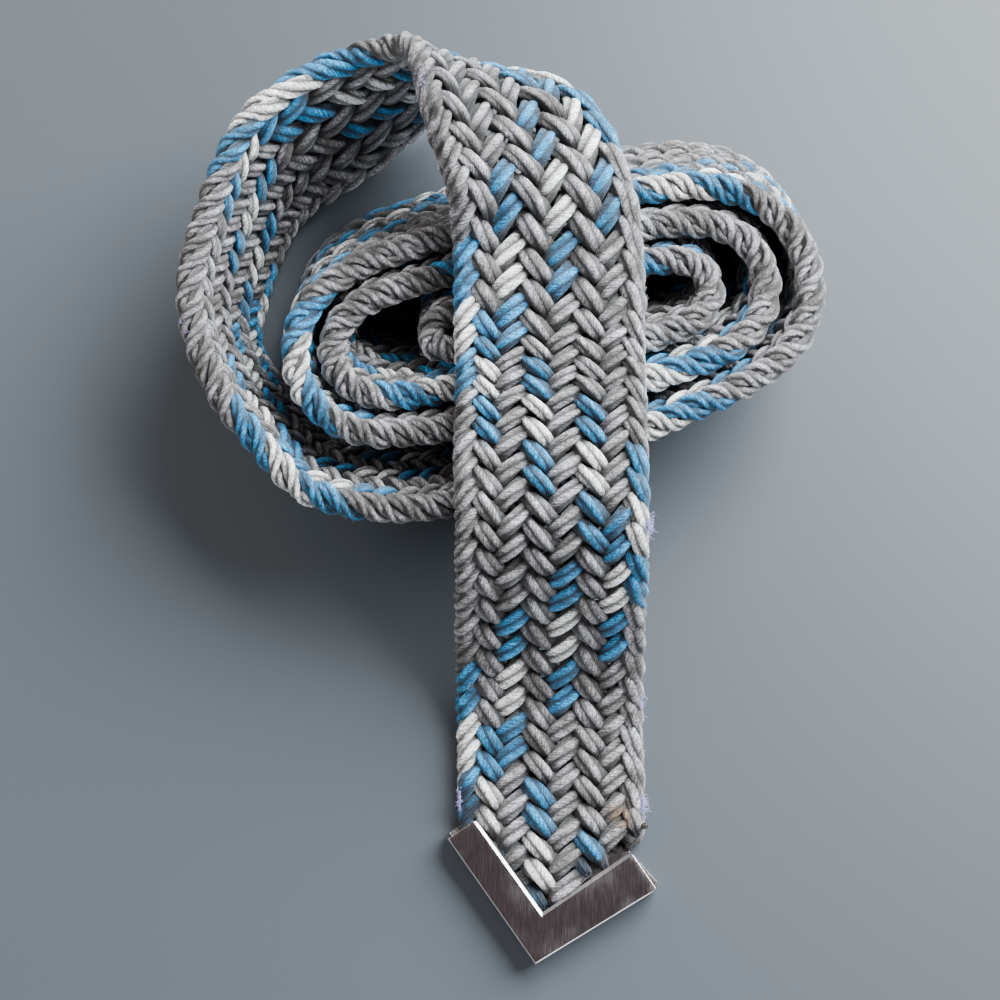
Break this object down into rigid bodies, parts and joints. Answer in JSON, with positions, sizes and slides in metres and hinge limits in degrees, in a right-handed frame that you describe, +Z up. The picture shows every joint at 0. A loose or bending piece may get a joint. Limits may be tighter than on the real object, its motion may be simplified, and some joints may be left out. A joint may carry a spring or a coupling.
{
  "type": "rope belt",
  "caption": "Flat braided rope belt rolled up on its edge, one end laid out flat over the roll and finished with a folded metal V tip.",
  "frame": {"origin": "on the surface that the belt lies on, under the middle of its overall box", "axes": "+X to the right and +Y to the back as seen from the tip's side, +Z up"},
  "size_m": [0.152, 0.2146, 0.0642],
  "materials": {
    "braid": "soft laid cord in a flat braid, grey with bright blue and off-white strands",
    "tip_metal": "polished nickel plate with fine scratches"
  },
  "bodies": {
    "root": {"braided_band": "braid", "v_tip": "tip_metal"}
  },
  "joints": []
}
